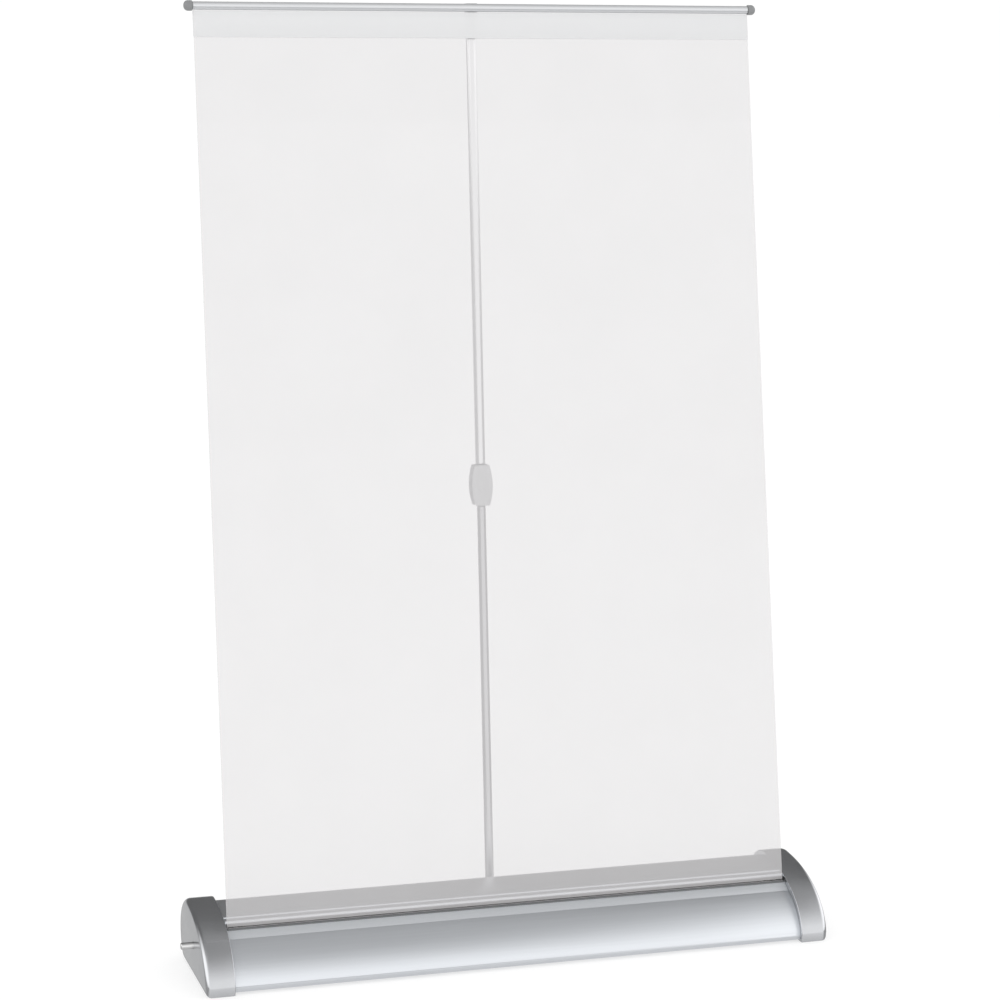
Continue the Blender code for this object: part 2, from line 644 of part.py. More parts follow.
def make_pole(parts, cutters):
    foot, up, _, length = pole_line()
    metal = material("pole_steel", (0.6, 0.6, 0.61, 1), 0.25, 1.0)
    low, high = KNUCKLE_AT - KNUCKLE_PIVOT, KNUCKLE_AT + KNUCKLE_PIVOT
    low_tube_end, high_tube_start, top = low - EYE_SHANK, high + EYE_SHANK, length - HOOK_DROP
    low_bore, high_bore = LOWER_RADIUS - TUBE_WALL, UPPER_RADIUS - TUBE_WALL
    tube("lower_pole", foot + up * EYE_SHANK, foot + up * low_tube_end, LOWER_RADIUS, low_bore, metal, parts)
    tube("upper_pole", foot + up * high_tube_start, foot + up * top, UPPER_RADIUS, high_bore, metal, parts)
    make_pole_eye("pole_foot_eye", 0.0, EYE_SHANK, parts, cutters, low_bore)
    make_pole_eye("lower_pole_eye", low, low_tube_end, parts, cutters, low_bore)
    make_pole_eye("upper_pole_eye", high, high_tube_start, parts, cutters, high_bore)
    make_hook(foot + up * top, up, parts, cutters)


def make_hook(tube_end, up, parts, cutters):
    """Top fitting: collar on the tube, a flat back behind the rail, and a ledge under the rail."""
    look = grey_plastic()
    collar = UPPER_RADIUS + HOOK_COLLAR_STEP
    plug = UPPER_RADIUS - TUBE_WALL - PLUG_CLEARANCE
    profile = [(0, HOOK_COLLAR), (collar, HOOK_COLLAR), (collar, FIT_GAP), (plug, FIT_GAP)]
    profile += [(plug, -HOOK_PLUG), (0, -HOOK_PLUG)]
    hook = turned("pole_hook", profile, frame_along(tube_end, up), look, parts, 20)
    rail_y, rail_z = rail_centre()
    gap = RAIL_RADIUS + FIT_GAP
    front_y = rail_y + RAIL_RADIUS + HOOK_RAIL_GAP
    blade_y = rail_y + POLE_TOP_BEHIND_RAIL
    near_y, far_y = blade_y - HOOK_HALF_THICK, blade_y + HOOK_HALF_THICK
    ledge_z = rail_z - gap - HOOK_LEDGE
    outline = [(near_y, rail_z - HOOK_BLADE_DROP), (far_y, rail_z - HOOK_BLADE_DROP)]
    outline += [(far_y, rail_z + gap), (front_y, rail_z + gap), (front_y, rail_z - gap + 0.1 * MM)]
    outline += [(rail_y + HOOK_LEDGE_REACH[0], rail_z - gap - 0.2 * MM)]
    outline += [(rail_y + HOOK_LEDGE_REACH[1], ledge_z), (near_y, ledge_z)]
    cut(hook, flat_solid("pole_hook_blade", outline, along_x(POLE_TOP_X), HOOK_WIDTH, look, cutters), "UNION")


def block(name, low, high, look, collection):
    """A box between two opposite corners."""
    bpy.ops.mesh.primitive_cube_add(size=1)
    obj = place(bpy.context.object, name, look, collection)
    low, high = Vector(low), Vector(high)
    obj.data.transform(Matrix.Diagonal((*(high - low), 1)))
    obj.location = (low + high) / 2
    return obj


def make_bracket(parts, cutters):
    """Clevis on the cassette's rear wall that carries the pole's foot pin."""
    foot, _, swing, _ = pole_line()
    look = material("dark_plastic", NEAR_BLACK, 0.5, 0.0)
    plate_y, _ = section((REAR_Y - PROFILE_INSET, 0))
    plate_y += FIT_GAP
    ear_y = foot.y + EYE_HALF + FIT_GAP
    rear_y = ear_y + BRACKET_PLATE
    x, z = foot.x, foot.z
    floor_z = z - BRACKET_FLOOR_DROP
    plate = block("pole_bracket", (x - BRACKET_HALF_WIDTH, plate_y, z - BRACKET_HALF_HEIGHT),
                  (x + BRACKET_HALF_WIDTH, plate_y + BRACKET_PLATE, z + BRACKET_HALF_HEIGHT), look, parts)
    bevelled(plate, 0.4 * MM, 1)
    cut(plate, block("pole_bracket_floor", (x - BRACKET_FLOOR_WIDTH / 2, plate_y + 0.5 * MM, floor_z),
                     (x + BRACKET_FLOOR_WIDTH / 2, rear_y, floor_z + BRACKET_PLATE), look, cutters), "UNION")
    cut(plate, block("pole_bracket_ear", (x - BRACKET_EAR_WIDTH / 2, ear_y, floor_z + 0.2 * MM),
                     (x + BRACKET_EAR_WIDTH / 2, rear_y, z + BRACKET_EAR_ABOVE), look, cutters), "UNION")
    cut(plate, rod("pole_bracket_hole", foot - swing * 7.2 * MM, foot + swing * 12 * MM,
                   PIN_RADIUS + PIN_CLEARANCE, look, cutters, 16))
    pin_start = foot - swing * (foot.y - plate_y - FIT_GAP)
    pin_end = foot + swing * (rear_y - foot.y + 0.4 * MM)
    rod("pole_pivot_pin", pin_start, pin_end, PIN_RADIUS, bright_steel(), parts, 16)
    for sign, name in ((-1, "bracket_screw_left"), (1, "bracket_screw_right")):
        head = Vector((x + sign * BRACKET_SCREW_X, plate_y + BRACKET_PLATE + BRACKET_SCREW_PROUD, z))
        make_screw(name, head, (0, -1, 0), parts, BRACKET_SCREW_RADIUS, BRACKET_SCREW_LENGTH)
        hole_start, hole_end = head + Vector((0, 4 * MM, 0)), head - Vector((0, 12 * MM, 0))
        hole_radius = (BRACKET_SCREW_RADIUS + FIT_GAP) / 2
        for target in (plate, bpy.data.objects["base_profile"]):
            hole_name = f"{target.name}_{name}"
            cut(target, rod(hole_name, hole_start, hole_end, hole_radius, look, cutters, 16))


def main():
    clear_scene()
    parts = new_collection(COLLECTION)
    cutters = new_collection("cutters")
    make_base_profile(parts)
    make_slot_guide(parts)
    for side in (-1, 1):
        make_end_cap(side, parts, cutters)
    make_cap_screws(parts)
    make_feet(parts)
    make_axles(parts)
    make_recoil_spring(parts)
    make_roller(parts)
    make_banner(parts)
    make_rail(parts)
    make_bracket(parts, cutters)
    make_pole(parts, cutters)
    make_knuckle(parts, cutters)


main()
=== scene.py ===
"""Looks of the tabletop roll-up banner stand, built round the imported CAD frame.

Metres, in the row frame: +X along the base, -Y to the viewer, +Z up.
Section points of the base are (y, z) from its front edge on the table.
"""

import math

import bmesh
import bpy
from mathutils import Matrix, Vector

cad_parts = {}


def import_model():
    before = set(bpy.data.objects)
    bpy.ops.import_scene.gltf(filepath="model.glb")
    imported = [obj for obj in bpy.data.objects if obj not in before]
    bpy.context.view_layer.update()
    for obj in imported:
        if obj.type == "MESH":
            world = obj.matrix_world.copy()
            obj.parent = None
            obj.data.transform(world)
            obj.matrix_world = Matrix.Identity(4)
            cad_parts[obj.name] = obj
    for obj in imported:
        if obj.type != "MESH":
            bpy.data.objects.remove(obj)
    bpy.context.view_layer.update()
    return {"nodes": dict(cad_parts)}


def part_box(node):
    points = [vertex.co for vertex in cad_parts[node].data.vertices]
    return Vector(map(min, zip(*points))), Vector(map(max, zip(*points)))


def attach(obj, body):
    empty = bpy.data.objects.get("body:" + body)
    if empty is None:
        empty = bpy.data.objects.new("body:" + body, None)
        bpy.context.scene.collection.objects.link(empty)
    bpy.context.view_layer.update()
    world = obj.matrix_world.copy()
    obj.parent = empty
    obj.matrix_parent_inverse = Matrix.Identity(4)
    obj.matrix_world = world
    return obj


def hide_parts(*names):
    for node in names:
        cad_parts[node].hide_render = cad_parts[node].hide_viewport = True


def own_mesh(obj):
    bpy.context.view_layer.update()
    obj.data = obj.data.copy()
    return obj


MM = 0.001

# Shapes in general
SAME_PLACE = 0.05 * MM  # distance under which two points lie in one plane
DRILL_MARGIN = 1.0 * MM  # how far a cutter stands out of what it cuts
EDGE_STEPS = 5  # in the rounded edge of a rod

# Base section, as in the CAD source except where a line says otherwise
FRONT_Y = -44.68 * MM
CAP_OUTER_X = 154.2 * MM
CAP_INNER_X = 140.4 * MM
SHELL_END_X = 140.3 * MM  # 0.1 mm short of the CAD's, clear of the cap
CAP_HEIGHT = 32.2 * MM
CAP_FRONT = -1.7 * MM
CAP_REACH = 58.2 * MM
CURVE_POWER = 2.2
CREST_Y = 50.0 * MM
CURVE_TOP_Y = 46.0 * MM
REAR_Y = 68.5 * MM
REAR_MID_Z = 15.0 * MM
REAR_FOOT_Y = 58.0 * MM
PLINTH_HEIGHT = 4.3 * MM
PLINTH_TUCK = 1.3 * MM
CAP_EDGE = 3.0 * MM  # softer than the CAD's 1.8 mm
CAP_INNER_EDGE = 0.12  # share of CAP_EDGE
SHELL_WALL = 1.2 * MM
SHELL_INSET = 2.2 * MM
SHELL_FLOOR_Z = 1.3 * MM
PANEL_REACH = 56.3 * MM
PANEL_HEIGHT = 28.4 * MM
CREASE_Y = 16.85 * MM
SLOT_FRONT = (21.6 * MM, 24.45 * MM)  # further forward than the CAD's, for a wider slot
SLOT_REAR = (24.3 * MM, 27.5 * MM)
SLOT_REAR_DEPTH = 1.0 * MM  # shallower than the CAD's 3.2 mm
# Dark rod along the slot's front edge, painted shade for the shadow in the slot
SLOT_SHADE_ROD = (22.0 * MM, 24.35 * MM)
SLOT_SHADE_ROD_RADIUS = 0.75 * MM
TOP_BEND = (37.0 * MM, 29.5 * MM)
RIM_HEIGHT = 2.6 * MM
RIM_STEP = 0.4 * MM
RIM_TUCK = 0.7 * MM
RIM_LEDGE = 0.5 * MM
SHELL_EDGE = 0.2 * MM
PANEL_STEPS = 36
CAP_STEPS = 44
REAR_STEPS = 24
TOP_FACING = 0.2  # least upward share of the normal of a face that takes the band's painted highlight or the top's painted shade

# Ribs behind the slot: section point of the centre, and radius
SLOT_RIBS = {
    "slot_rib_rear": ((24.9 * MM, 27.4 * MM), 0.5 * MM),
    "slot_rib_upper": ((28.6 * MM, 28.2 * MM), 0.55 * MM),
}

# Roller, axles, screws and feet
ROLLER = (31.0 * MM, 15.8 * MM)
ROLL_RADIUS = 9.4 * MM
AXLE_RADIUS = 1.6 * MM
AXLE_END_X = 160.2 * MM
AXLE_HIDDEN_X = {"spring_axle": 70.0 * MM, "idler_axle": 118.0 * MM}
AXLE_EDGE = 0.5 * MM
AXLE_BORE_RADIUS = 1.9 * MM
AXLE_BORE_REACH = 20.0 * MM  # of the cutter, to each side of the screws
CAP_SCREW_X = 146.9 * MM
CAP_SCREW_YS = {"front": 12.0 * MM, "rear": 48.0 * MM}
CAP_SCREW_HEAD_Z = 0.9 * MM
CAP_SCREW_RADIUS = 2.2 * MM
BRACKET_SCREW_RADIUS = 1.7 * MM
SCREW_LENGTH = 6.5 * MM
SCREW_TIP = 0.8 * MM
SCREW_SHANK = 0.5  # share of the head's radius
SCREW_HEAD = [  # share of the head's radius, and depth below its top
    (0, 0), (0.55, 0), (0.85, 0.2 * MM), (1, 0.7 * MM), (1, 1.4 * MM),
]
RECESS_REACH = 0.55  # share of the head's radius
RECESS_HALF = 0.22 * MM
RECESS_DEPTH = 1.6 * MM
SCREW_HOLE_RADIUS = 2.5 * MM
SCREW_HOLE_DEPTH = 8.5 * MM
FOOT_X = 110.0 * MM
FOOT_YS = {"front": 9.0 * MM, "rear": 52.0 * MM}
FOOT_RADIUS = 4.5 * MM
FOOT_HEIGHT = 1.0 * MM
FOOT_EDGE = 0.35 * MM

# Film, skirt and rail
FILM_WIDTH = 279.4 * MM
FILM_SLOT = (23.12 * MM, 25.44 * MM)
FILM_LEAN = math.radians(7.94)
BANNER_LENGTH = 430.9 * MM
SKIRT_HALF = 0.45 * MM
FILM_LENGTH = 418.0 * MM  # from the slot to the skirt's lower edge
FILM_COLUMNS, FILM_ROWS = 56, 80
FILM_WAVE = 0.12 * MM
FILM_WAVES = 2.3  # across the width
FILM_WAVE_DRIFT = 0.4  # waves, from the slot to the skirt
LEADER_STEPS = 12
LEADER_BEND = 1.6
LEADER_RISE = 1.0 * MM  # of its lower end above the roller's axis
LEADER_GAP = 0.3 * MM  # from the roll
LEADER_TOP = -0.4 * MM  # distance along the film from the slot
RAIL_RADIUS = 1.95 * MM
RAIL_BORE = 1.35 * MM
RAIL_END_X = 139.7 * MM
RAIL_CAP_RADIUS = 2.5 * MM
RAIL_CAP_LENGTH = 4.0 * MM
RAIL_GROOVE_AT = -19.0  # degrees below the front
RAIL_GROOVE_HALF = 4.5  # degrees
RAIL_GROOVE_DEPTH = 0.3 * MM
RAIL_GROOVE_SLOPE = 1.0  # degrees, on each side
RAIL_CAP_GAP = 0.3 * MM
RAIL_CAP_EDGE = 0.2 * MM
RAIL_DOME_HEIGHT = 2.2 * MM
RAIL_DOME_POWER = 0.8
RAIL_PLUG_RADIUS = 1.2 * MM
RAIL_PLUG_LENGTH = 6.0 * MM
SKIRT_TAPER = (0.5 * MM, 0.4)  # length, and share of the thickness at the lower edge
SKIRT_GAP_LOW = 0.02 * MM
SKIRT_GAP_HIGH = 0.3 * MM

# Support pole
POLE_FOOT = (3.0 * MM, 72.6 * MM, 15.0 * MM)
POLE_TOP_X = -2.2 * MM
POLE_BEHIND_RAIL = 5.4 * MM
LOWER_RADIUS = 2.1 * MM
UPPER_RADIUS = 2.4 * MM
TUBE_WALL = 0.5 * MM
EYE_SHANK = 5.0 * MM
HOOK_DROP = 15.0 * MM
KNUCKLE_AT = 206.0 * MM
KNUCKLE_LENGTH = 20.0 * MM
KNUCKLE_WIDTH = 10.4 * MM
KNUCKLE_END_WIDTH = 7.2 * MM
KNUCKLE_PIVOT = 5.6 * MM
KNUCKLE_PLATE = 1.5 * MM
KNUCKLE_GAP = 2.75 * MM
STOP_WALL_STEPS = 16
STOP_WALL_INNER = 2.8 * MM
STOP_WALL_INSET = 0.02 * MM
STOP_WALL_BACK = 0.2 * MM
PIN_RADIUS = 0.9 * MM
PIN_CLEARANCE = 0.1 * MM
PIN_HOLE_REACH = 9.0 * MM  # of the cutter, to each side of the pole
KNUCKLE_ROWS, KNUCKLE_COLUMNS = 24, 16
KNUCKLE_THINNING = 0.5  # share of the plate lost at its side edges
KNUCKLE_CROWN_POWER = 2.6
KNUCKLE_EDGE = 0.3 * MM

# CAD nodes that still show, with their looks
KEPT_NODES = {
    "slot_guide": "dark_plastic",
    "axle_clip_left": "bright_steel",
    "axle_clip_right": "bright_steel",
    "recoil_spring": "bright_steel",
    "roller_tube": "mill_aluminium",
    "roller_plug_spring": "white_nylon",
    "roller_plug_idler": "white_nylon",
    "banner_roll": "banner_film",
    "pole_foot_eye": "grey_plastic",
    "lower_pole_eye": "grey_plastic",
    "upper_pole_eye": "grey_plastic",
    "pole_hook": "knuckle_plastic",
    "pole_bracket": "dark_plastic",
    "pole_pivot_pin": "bright_steel",
    "knuckle_pin_lower": "bright_steel",
    "knuckle_pin_upper": "bright_steel",
}
SOFT_EDGED = {"pole_foot_eye", "lower_pole_eye", "upper_pole_eye", "pole_hook", "pole_bracket"}
KEPT_EDGE = 0.25 * MM
KEPT_WELD = 0.001 * MM

# Studio: grey seen in reflections against height, from straight down at 0 to straight up at 1
ROOM_GREYS = {
    "front": [(0.0, 0.6), (0.15, 0.68), (0.3, 0.85), (0.42, 1.15), (0.65, 1.1), (0.8, 0.85),
              (0.9, 0.62), (0.97, 0.42), (1.0, 0.35)],
    "back": [(0.0, 0.4), (0.46, 0.6), (0.52, 0.2), (0.56, 0.13), (0.72, 0.13), (0.85, 0.15),
             (0.94, 0.22), (1.0, 0.35)],
    "side": [(0.0, 0.35), (0.49, 0.4), (0.52, 1.6), (0.8, 1.5), (0.95, 0.4), (1.0, 0.35)],
}
ROOM_BACK = (-0.2, 0.45)  # Y of a direction where the front turns into the back
ROOM_SIDE = (0.6, 0.85)  # size of X where either turns into the side
PLAIN_STRENGTH = 1.02
FLOOR_GREY = 0.4
FLOOR_REACH = 30.0
FLOOR_CLOUDS = 3  # per metre
LIGHT_TARGET = (0, 0, 0.2)
LIGHTS = {  # place, size and watts
    "overhead": ((0, -0.2, 2.2), (2.4, 2.4), 4),
    "front_left": ((-1.6, -1.8, 1.2), (1.6, 1.6), 2),
}

# Camera, fitted to the view of the object; degrees, and millimetres of lens
CAMERA_AT = (-0.3730, -1.2582, 0.4165)
CAMERA_YAW = 16.512
CAMERA_PITCH = 6.505
CAMERA_LENS = 99.15
CAMERA_SHIFT_Y = -0.1
CAMERA_SENSOR = 36.0
CAMERA_CLIP = 0.05

# Looks. Grain is how far the noise is stretched along each axis.
ALONG_X, ALONG_Z, EVENLY = (0.02, 1, 1), (1, 1, 0.02), (1, 1, 1)
NOISE_LOW, NOISE_HIGH = 0.3, 0.7
METALS = {  # colour, roughness, grain, cells per metre, metallic share, relief
    "anodised_aluminium": ((0.76, 0.785, 0.82), 0.3, ALONG_X, 900, 0.82, 0.012),
    # The next two are copies of the anodised aluminium: a brighter one paints a highlight on the
    # band under the slot, a darker one paints shade on the top.
    "band_painted_highlight": ((0.76, 0.785, 0.815), 0.4, ALONG_X, 900, 0.6, 0.02),
    "top_painted_shade": ((0.64, 0.65, 0.67), 0.3, ALONG_X, 900, 0.88, 0.02),
    "rail_aluminium": ((0.72, 0.73, 0.745), 0.34, ALONG_X, 900, 0.6, 0.05),
    "mill_aluminium": ((0.6, 0.61, 0.62), 0.4, ALONG_X, 900, 1.0, 0.05),
    "pole_steel": ((0.84, 0.84, 0.845), 0.16, ALONG_Z, 900, 1.0, 0.05),
    "lower_steel": ((0.5, 0.5, 0.51), 0.18, ALONG_Z, 900, 1.0, 0.05),
    "bright_steel": ((0.75, 0.75, 0.75), 0.12, ALONG_X, 2500, 1.0, 0.05),
    "zinc_steel": ((0.52, 0.53, 0.54), 0.32, EVENLY, 1800, 1.0, 0.05),
}
METAL_SHADES = (0.985, 1.01)
METAL_GLOSSES = (0.97, 1.03)
METAL_RELIEF = 0.01 * MM
PLASTICS = {  # colour, roughness, grain cells per metre, relief
    "dark_plastic": ((0.05, 0.05, 0.055), 0.5, 2200, 0.15),
    # near-black plastic of the rod that paints the slot's shade
    "slot_shade_plastic": ((0.13, 0.135, 0.14), 0.5, 2200, 0.15),
    "grey_plastic": ((0.26, 0.265, 0.27), 0.38, 2200, 0.15),
    "knuckle_plastic": ((0.57, 0.575, 0.58), 0.42, 2200, 0.08),
    "white_nylon": ((0.8, 0.8, 0.78), 0.5, 2200, 0.15),
    "rubber": ((0.03, 0.03, 0.03), 0.85, 1500, 0.4),
}
PLASTIC_SHADES = (0.94, 1.05)
PLASTIC_GLOSSES = (0.85, 1.15)
PLASTIC_CLOUDS = 120
PLASTIC_RELIEF = 0.03 * MM
SOFT_RELIEF = 0.02 * MM  # of the silver plastic, the film and the skirt strip


# ---------------------------------------------------------------- materials


def new_material(name, colour, roughness, metallic=0.0, **more):
    """A Principled material; more holds further socket values by name, with _ for a space."""
    made = bpy.data.materials.new(name)
    made.use_nodes = True
    shader = made.node_tree.nodes["Principled BSDF"]
    shader.inputs["Base Color"].default_value = (*colour, 1.0)
    shader.inputs["Roughness"].default_value = roughness
    shader.inputs["Metallic"].default_value = metallic
    for socket, value in more.items():
        shader.inputs[socket.replace("_", " ")].default_value = value
    return made


def noise(made, scale, stretch=(1, 1, 1), detail=3.0):
    """Noise in the piece's own space, in cells per metre, stretched by its Mapping node."""
    nodes, links = made.node_tree.nodes, made.node_tree.links
    where = nodes.new("ShaderNodeTexCoord")
    mapping = nodes.new("ShaderNodeMapping")
    mapping.inputs["Scale"].default_value = stretch
    texture = nodes.new("ShaderNodeTexNoise")
    texture.inputs["Scale"].default_value = scale
    texture.inputs["Detail"].default_value = detail
    links.new(where.outputs["Object"], mapping.inputs["Vector"])
    links.new(mapping.outputs["Vector"], texture.inputs["Vector"])
    return texture


def vary_colour(made, texture, dark, light):
    """Colour runs from dark to light over the texture."""
    nodes, links = made.node_tree.nodes, made.node_tree.links
    ramp = nodes.new("ShaderNodeValToRGB")
    ramp.color_ramp.elements[0].position = NOISE_LOW
    ramp.color_ramp.elements[1].position = NOISE_HIGH
    ramp.color_ramp.elements[0].color = (*dark, 1.0)
    ramp.color_ramp.elements[1].color = (*light, 1.0)
    links.new(texture.outputs["Fac"], ramp.inputs["Fac"])
    links.new(ramp.outputs["Color"], nodes["Principled BSDF"].inputs["Base Color"])


def vary_roughness(made, texture, low, high):
    """Roughness runs from low to high over the texture."""
    nodes, links = made.node_tree.nodes, made.node_tree.links
    spread = nodes.new("ShaderNodeMapRange")
    spread.inputs["From Min"].default_value = NOISE_LOW
    spread.inputs["From Max"].default_value = NOISE_HIGH
    spread.inputs["To Min"].default_value = low
    spread.inputs["To Max"].default_value = high
    links.new(texture.outputs["Fac"], spread.inputs["Value"])
    links.new(spread.outputs["Result"], nodes["Principled BSDF"].inputs["Roughness"])


def bump(made, texture, strength, distance):
    nodes, links = made.node_tree.nodes, made.node_tree.links
    relief = nodes.new("ShaderNodeBump")
    relief.inputs["Strength"].default_value = strength
    relief.inputs["Distance"].default_value = distance
    links.new(texture.outputs["Fac"], relief.inputs["Height"])
    links.new(relief.outputs["Normal"], nodes["Principled BSDF"].inputs["Normal"])


def shade(colour, factor):
    return tuple(min(1.0, part * factor) for part in colour)


def metal(name):
    """Metal with fine streaks, drawn or extruded, along its grain."""
    colour, roughness, grain, cells, metallic, relief = METALS[name]
    made = new_material(name, colour, roughness, metallic)
    lines = noise(made, cells, grain)
    vary_colour(made, lines, *(shade(colour, factor) for factor in METAL_SHADES))
    vary_roughness(made, lines, *(roughness * factor for factor in METAL_GLOSSES))
    bump(made, lines, relief, METAL_RELIEF)
    return made


def moulded(name):
    """Moulded plastic with a fine grain and slightly uneven colour."""
    colour, roughness, cells, relief = PLASTICS[name]
    made = new_material(name, colour, roughness)
    clouds = noise(made, PLASTIC_CLOUDS)
    vary_colour(made, clouds, *(shade(colour, factor) for factor in PLASTIC_SHADES))
    grain = noise(made, cells, detail=2.0)
    vary_roughness(made, grain, *(roughness * factor for factor in PLASTIC_GLOSSES))
    bump(made, grain, relief, PLASTIC_RELIEF)
    return made


def silver_plastic():
    """Glossy silver finish of the end caps, with a faint orange peel."""
    made = new_material("silver_plastic", (0.62, 0.63, 0.65), 0.16, 0.95)
    peel = noise(made, 260, detail=1.0)
    vary_roughness(made, peel, 0.13, 0.2)
    vary_colour(made, noise(made, 60), (0.6, 0.61, 0.63), (0.64, 0.65, 0.67))
    bump(made, peel, 0.05, SOFT_RELIEF)
    return made


def banner_film():
    """Milky film that lets part of what is behind it through."""
    made = new_material("banner_film", (0.68, 0.668, 0.675), 0.42, Alpha=0.6)
    vary_colour(made, noise(made, 30), (0.67, 0.658, 0.665), (0.69, 0.678, 0.685))
    bump(made, noise(made, 1600), 0.05, SOFT_RELIEF)
    return made


def clear_strip():
    """Cloudy plastic of the skirt strip, with faint lines along it."""
    made = new_material("clear_strip", (0.8, 0.803, 0.81), 0.3, Alpha=0.86)
    vary_colour(made, noise(made, 90, ALONG_X), (0.79, 0.793, 0.8), (0.81, 0.813, 0.82))
    bump(made, noise(made, 900, ALONG_X), 0.08, SOFT_RELIEF)
    return made


def make_looks():
    """A material for each slot of the record, and variants of some, by name."""
    looks = {name: metal(name) for name in METALS}
    looks.update({name: moulded(name) for name in PLASTICS})
    looks["silver_plastic"] = silver_plastic()
    looks["banner_film"] = banner_film()
    looks["clear_strip"] = clear_strip()
    return looks


# ---------------------------------------------------------------- shapes


def section(point):
    """A (y, z) section point in the row frame."""
    return (point[0] + FRONT_Y, point[1])


def placed(name, mesh):
    made = bpy.data.objects.new(name, mesh)
    bpy.context.scene.collection.objects.link(made)
    return made


def mesh_of(name, vertices, faces):
    mesh = bpy.data.meshes.new(name)
    mesh.from_pydata([tuple(v) for v in vertices], [], faces)
    mesh.update()
    return placed(name, mesh)


def apply_modifiers(obj):
    """Turns the evaluated mesh, with all of its modifiers, into the object's own mesh."""
    bpy.context.view_layer.update()
    graph = bpy.context.evaluated_depsgraph_get()
    mesh = bpy.data.meshes.new_from_object(obj.evaluated_get(graph))
    obj.modifiers.clear()
    obj.data = mesh
    return obj


def smooth(obj, angle=30):
    obj.data.shade_smooth()
    obj.data.set_sharp_from_angle(angle=math.radians(angle))
    return obj


def bevel(obj, width, segments=3, angle=40):
    step = obj.modifiers.new("edges", "BEVEL")
    step.width = width
    step.segments = segments
    step.limit_method = "ANGLE"
    step.angle_limit = math.radians(angle)
    step.harden_normals = False
    return obj


def cut(obj, cutter, operation="DIFFERENCE"):
    step = obj.modifiers.new("cut", "BOOLEAN")
    step.operation = operation
    step.object = cutter
    step.solver = "EXACT"
    apply_modifiers(obj)
    bpy.data.objects.remove(cutter)


def extruded(name, outline, matrix, thickness):
    """A closed outline in local XY, thickened evenly about local Z."""
    count = len(outline)
    vertices = [(x, y, z) for z in (-thickness / 2, thickness / 2) for x, y in outline]
    faces = [tuple(range(count - 1, -1, -1)), tuple(range(count, 2 * count))]
    for i in range(count):
        after = (i + 1) % count
        faces.append((i, after, count + after, count + i))
    made = mesh_of(name, vertices, faces)
    made.data.transform(matrix)
    facing_out(made)
    return made


def facing_out(obj):
    shape = bmesh.new()
    shape.from_mesh(obj.data)
    bmesh.ops.recalc_face_normals(shape, faces=shape.faces)
    shape.to_mesh(obj.data)
    shape.free()


def across(x):
    """Local X to row Y, local Y to row Z, local Z to row X."""
    return Matrix(((0, 0, 1, x), (1, 0, 0, 0), (0, 1, 0, 0), (0, 0, 0, 1)))


def frame_along(start, direction):
    turn = Vector(direction).to_track_quat("Z", "Y").to_matrix().to_4x4()
    return Matrix.Translation(Vector(start)) @ turn


def turned(name, profile, matrix, sides=48):
    """A closed solid of revolution about local Z, from (radius, z) points on or off the axis."""
    vertices, rings = [], []
    for radius, z in profile:
        if radius == 0:
            rings.append([len(vertices)] * sides)
            vertices.append((0, 0, z))
            continue
        rings.append(list(range(len(vertices), len(vertices) + sides)))
        for i in range(sides):
            angle = 2 * math.pi * i / sides
            vertices.append((radius * math.cos(angle), radius * math.sin(angle), z))
    faces = []
    pairs = list(zip(rings, rings[1:]))
    if profile[0][0] > 0:
        pairs.append((rings[-1], rings[0]))
    for low, high in pairs:
        for i in range(sides):
            corners = [low[i], low[(i + 1) % sides], high[(i + 1) % sides], high[i]]
            faces.append(tuple(dict.fromkeys(corners)))
    made = mesh_of(name, vertices, faces)
    made.data.transform(matrix)
    facing_out(made)
    return smooth(made)


def arc(centre, radius, start, end, count):
    """Points on an arc, in degrees from local X."""
    points = []
    for i in range(count + 1):
        angle = math.radians(start + (end - start) * i / count)
        points.append((centre[0] + radius * math.cos(angle),
                       centre[1] + radius * math.sin(angle)))
    return points


def circle(centre, radius, sides=24):
    """A closed ring of points, the first on local X."""
    return arc(centre, radius, 0, 360 - 360 / sides, sides - 1)


def drill(matrix, radius, low, high, sides=32):
    """A round cutter about the matrix's Z, from low to high."""
    return turned("drill", [(0, low), (radius, low), (radius, high), (0, high)], matrix, sides)


def rounded_rod(name, start, end, radius, edge):
    """A round bar with a rounded edge at each end."""
    start, end = Vector(start), Vector(end)
    length = (end - start).length
    low = arc((radius - edge, edge), edge, 270, 360, EDGE_STEPS)
    high = arc((radius - edge, length - edge), edge, 0, 90, EDGE_STEPS)
    return turned(name, [(0, 0), *low, *high, (0, length)], frame_along(start, end - start))


def pipe(name, start, end, radius, bore, edge=0.15 * MM):
    """An open tube with broken edges."""
    start, end = Vector(start), Vector(end)
    length = (end - start).length
    profile = [(bore, edge), (bore + edge, 0), (radius - edge, 0), (radius, edge),
               (radius, length - edge), (radius - edge, length),
               (bore + edge, length), (bore, length - edge)]
    return turned(name, profile, frame_along(start, end - start))


def dress(obj, body, slot, looks, *nodes, look=None):
    """Gives a piece its material, by its look or else its slot's name, and its body, and hides the
    CAD nodes that it stands for.
    """
    obj.data.materials.clear()
    obj.data.materials.append(looks[look or slot])
    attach(obj, body)
    if nodes:
        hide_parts(*nodes)
    return obj


# ---------------------------------------------------------------- base


def front_curve(reach, height, low_z, high_y, count):
    """The superellipse up the front of the base, from low_z to high_y."""
    centre_y = CAP_FRONT + CAP_REACH
    first = math.asin((low_z / height) ** (CURVE_POWER / 2))
    last = math.acos(((centre_y - high_y) / reach) ** (CURVE_POWER / 2))
    points = []
    for i in range(count + 1):
        t = first + (last - first) * i / count
        points.append((centre_y - reach * math.cos(t) ** (2 / CURVE_POWER),
                       height * math.sin(t) ** (2 / CURVE_POWER)))
    return points


